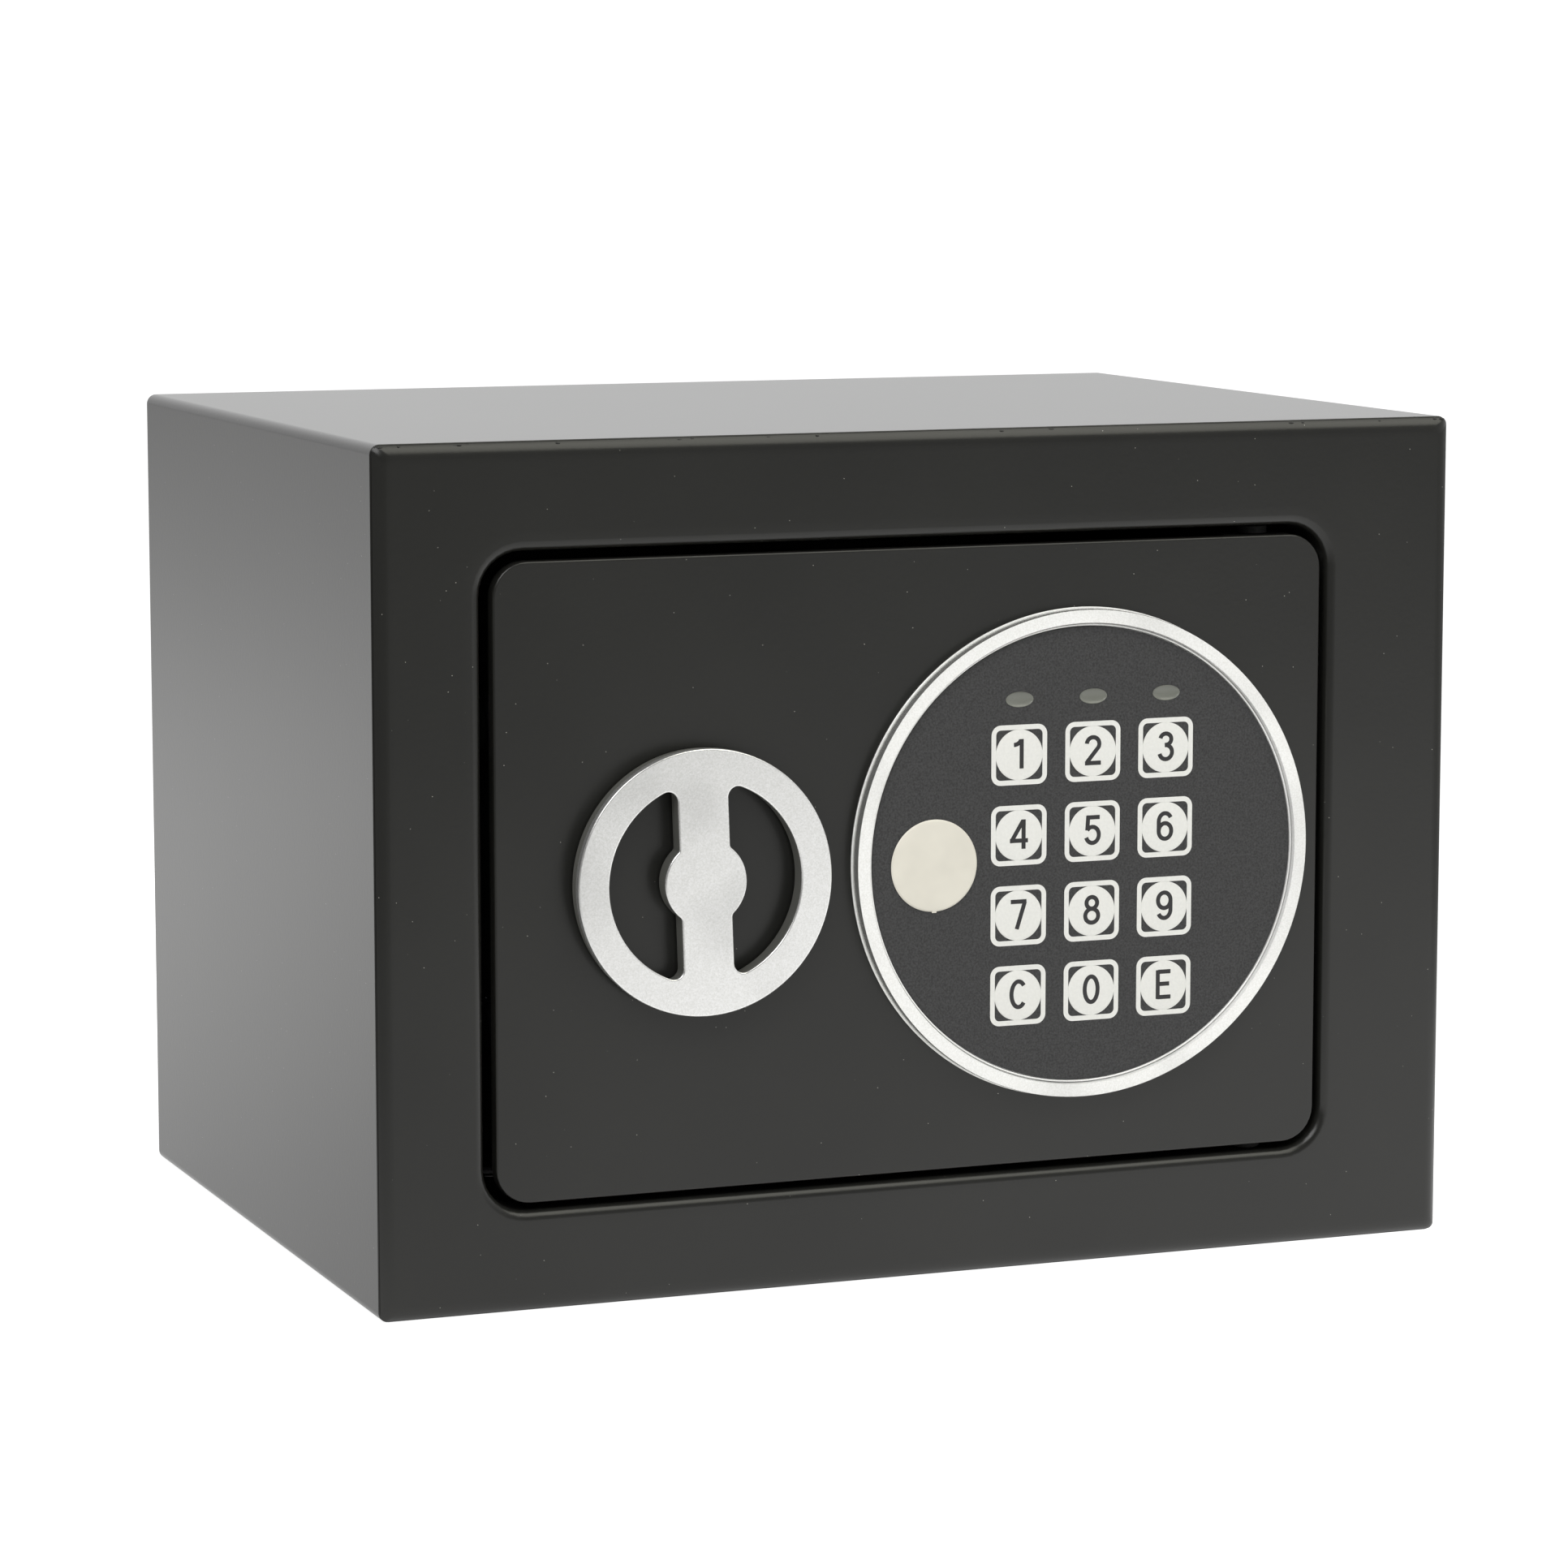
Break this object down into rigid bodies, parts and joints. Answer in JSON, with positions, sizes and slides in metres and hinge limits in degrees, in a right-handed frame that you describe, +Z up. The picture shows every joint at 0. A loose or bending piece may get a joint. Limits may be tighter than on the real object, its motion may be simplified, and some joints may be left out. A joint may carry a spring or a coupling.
{
  "type": "electronic safe",
  "caption": "Small steel safe with a hinged door, round keypad, turning knob that throws two bolts, emergency key lock and battery box",
  "frame": {"origin": "under the middle of the whole safe, on the surface that it stands on", "axes": "+X to the right seen from the front, +Y from the door to the back panel, +Z up"},
  "size_m": [0.23, 0.175, 0.17],
  "materials": {
    "charcoal_paint": "satin powder coat, charcoal",
    "black_paint": "matt powder coat, black",
    "silver_plastic": "satin silver lacquer on moulded plastic",
    "bezel_plastic": "satin silver-white moulded plastic",
    "black_plastic": "fine moulded texture",
    "keypad_film": "fine grain, matt",
    "key_white": "smooth, matt",
    "ivory_plastic": "satin moulded plastic",
    "lens_plastic": "translucent grey",
    "zinc_steel": "zinc plated, dull",
    "lock_brass": "turned",
    "coil_copper": "enamelled winding",
    "board_green": "solder mask",
    "cell_wrap": "printed foil",
    "red_plastic": "moulded",
    "nylon": "moulded",
    "grey_felt": "needled felt"
  },
  "bodies": {
    "cabinet": {"body_wrap": "charcoal_paint", "front_frame": "charcoal_paint", "back_panel": "charcoal_paint", "floor_mat": "grey_felt"},
    "door": {"door_plate": "charcoal_paint", "hinge_lug_upper": "charcoal_paint", "hinge_lug_lower": "charcoal_paint", "hinge_pin_upper": "charcoal_paint", "hinge_pin_lower": "charcoal_paint", "inner_cover": "black_paint", "cover_screw_1": "zinc_steel", "cover_screw_2": "zinc_steel", "cover_screw_3": "zinc_steel", "cover_screw_4": "zinc_steel", "keypad_bezel": "bezel_plastic", "keypad_face": "keypad_film", "keypad_board": "board_green", "led_lens": "lens_plastic", "lock_body": "zinc_steel", "lock_nut": "zinc_steel", "knob_bush": "nylon", "carriage_guide_upper": "zinc_steel", "carriage_guide_lower": "zinc_steel", "solenoid_frame": "zinc_steel", "solenoid_coil": "coil_copper", "circuit_board": "board_green", "buzzer": "black_plastic", "reset_switch": "black_plastic", "battery_holder": "black_plastic", "battery_1": "cell_wrap", "battery_2": "cell_wrap", "battery_3": "cell_wrap", "battery_4": "cell_wrap"},
    "knob": {"knob_face": "silver_plastic", "knob_body": "black_plastic", "knob_shaft": "zinc_steel", "cam_arm": "zinc_steel", "shaft_clip": "zinc_steel"},
    "bolts": {"bolt_carriage": "zinc_steel", "bolt_upper": "zinc_steel", "bolt_lower": "zinc_steel"},
    "plunger": {"solenoid_plunger": "zinc_steel", "plunger_spring": "zinc_steel"},
    "key_cover": {"key_cover": "ivory_plastic"},
    "lock_core": {"lock_plug": "lock_brass", "lock_cam": "zinc_steel"},
    "reset_button": {"reset_button": "red_plastic"},
    "battery_lid": {"battery_lid": "black_plastic"},
    "key_1": {"key_1": "key_white"},
    "key_2": {"key_2": "key_white"},
    "key_3": {"key_3": "key_white"},
    "key_4": {"key_4": "key_white"},
    "key_5": {"key_5": "key_white"},
    "key_6": {"key_6": "key_white"},
    "key_7": {"key_7": "key_white"},
    "key_8": {"key_8": "key_white"},
    "key_9": {"key_9": "key_white"},
    "key_c": {"key_c": "key_white"},
    "key_0": {"key_0": "key_white"},
    "key_e": {"key_e": "key_white"}
  },
  "joints": [
    {"name": "door_hinge", "type": "hinge", "parent": "cabinet", "child": "door", "pos_m": [0.0728, -0.07687, 0.0842], "axis": [0, 0, 1], "range_deg": [0, 100]},
    {"name": "knob_turn", "type": "hinge", "parent": "door", "child": "knob", "pos_m": [-0.0496, -0.08248, 0.0834], "axis": [0, -1, 0], "range_deg": [0, 70]},
    {"name": "bolt_slide", "type": "slide", "parent": "door", "child": "bolts", "axis": [-1, 0, 0], "range_m": [0, 0.012]},
    {"name": "plunger_lift", "type": "slide", "parent": "door", "child": "plunger", "axis": [0, 0, 1], "range_m": [0, 0.0015], "stiffness_N_per_m": 150, "springref_m": -0.004, "deforming": ["plunger_spring"]},
    {"name": "key_cover_pull", "type": "slide", "parent": "door", "child": "key_cover", "axis": [0, -1, 0], "range_m": [0, 0.012]},
    {"name": "lock_turn", "type": "hinge", "parent": "door", "child": "lock_core", "pos_m": [-0.0003, -0.08248, 0.0837], "axis": [0, 1, 0], "range_deg": [0, 90]},
    {"name": "reset_press", "type": "slide", "parent": "door", "child": "reset_button", "axis": [0, -1, 0], "range_m": [0, 0.0008], "stiffness_N_per_m": 300},
    {"name": "battery_lid_slide", "type": "slide", "parent": "door", "child": "battery_lid", "axis": [-1, 0, 0], "range_m": [0, 0.012]},
    {"name": "key_1_press", "type": "slide", "parent": "door", "child": "key_1", "axis": [0, 1, 0], "range_m": [0, 0.0005], "stiffness_N_per_m": 300},
    {"name": "key_2_press", "type": "slide", "parent": "door", "child": "key_2", "axis": [0, 1, 0], "range_m": [0, 0.0005], "stiffness_N_per_m": 300},
    {"name": "key_3_press", "type": "slide", "parent": "door", "child": "key_3", "axis": [0, 1, 0], "range_m": [0, 0.0005], "stiffness_N_per_m": 300},
    {"name": "key_4_press", "type": "slide", "parent": "door", "child": "key_4", "axis": [0, 1, 0], "range_m": [0, 0.0005], "stiffness_N_per_m": 300},
    {"name": "key_5_press", "type": "slide", "parent": "door", "child": "key_5", "axis": [0, 1, 0], "range_m": [0, 0.0005], "stiffness_N_per_m": 300},
    {"name": "key_6_press", "type": "slide", "parent": "door", "child": "key_6", "axis": [0, 1, 0], "range_m": [0, 0.0005], "stiffness_N_per_m": 300},
    {"name": "key_7_press", "type": "slide", "parent": "door", "child": "key_7", "axis": [0, 1, 0], "range_m": [0, 0.0005], "stiffness_N_per_m": 300},
    {"name": "key_8_press", "type": "slide", "parent": "door", "child": "key_8", "axis": [0, 1, 0], "range_m": [0, 0.0005], "stiffness_N_per_m": 300},
    {"name": "key_9_press", "type": "slide", "parent": "door", "child": "key_9", "axis": [0, 1, 0], "range_m": [0, 0.0005], "stiffness_N_per_m": 300},
    {"name": "key_c_press", "type": "slide", "parent": "door", "child": "key_c", "axis": [0, 1, 0], "range_m": [0, 0.0005], "stiffness_N_per_m": 300},
    {"name": "key_0_press", "type": "slide", "parent": "door", "child": "key_0", "axis": [0, 1, 0], "range_m": [0, 0.0005], "stiffness_N_per_m": 300},
    {"name": "key_e_press", "type": "slide", "parent": "door", "child": "key_e", "axis": [0, 1, 0], "range_m": [0, 0.0005], "stiffness_N_per_m": 300}
  ],
  "couplings": [
    {"joint": "knob_turn", "follows": "bolt_slide", "rad_per_m": 101.8}
  ]
}
